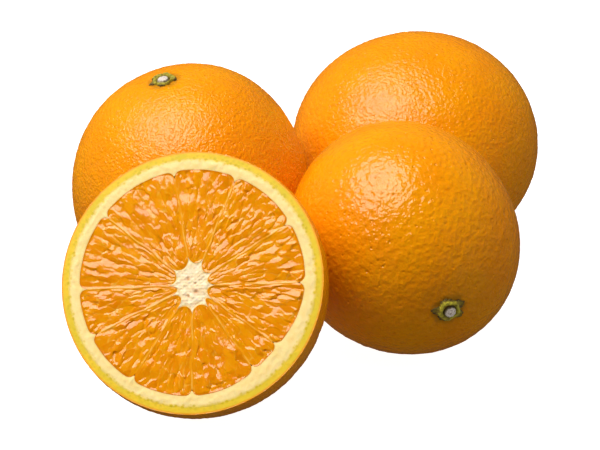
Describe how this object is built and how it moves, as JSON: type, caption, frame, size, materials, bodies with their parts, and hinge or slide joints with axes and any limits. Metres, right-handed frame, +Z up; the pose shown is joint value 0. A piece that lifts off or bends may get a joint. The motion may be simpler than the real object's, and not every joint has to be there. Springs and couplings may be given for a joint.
{
  "type": "oranges",
  "caption": "Pile of whole sweet oranges with a cut one leaning on them, its round face of juicy segments, pith core and white-lined peel turned forward.",
  "frame": {"origin": "on the surface that the fruits stand on, under the middle of the pile's bounding box", "axes": "+Z up, +Y from the cut orange at the front towards the back of the pile, +X to the right as seen from the cut face"},
  "size_m": [0.1514, 0.1836, 0.0785],
  "materials": {
    "orange_skin": "waxy, pitted with fine pores, softly shining",
    "calyx": "dry and matt",
    "pith": "spongy and matt",
    "flesh": "wet and shining"
  },
  "bodies": {
    "root": {"left_orange": "orange_skin", "left_calyx": "calyx", "right_orange": "orange_skin", "right_calyx": "calyx", "front_orange": "orange_skin", "front_calyx": "calyx", "half_peel": "orange_skin", "half_segment_01": "flesh", "half_segment_02": "flesh", "half_segment_03": "flesh", "half_segment_04": "flesh", "half_segment_05": "flesh", "half_segment_06": "flesh", "half_segment_07": "flesh", "half_segment_08": "flesh", "half_segment_09": "flesh", "half_segment_10": "flesh", "half_segment_11": "flesh", "half_core": "pith"}
  },
  "joints": []
}
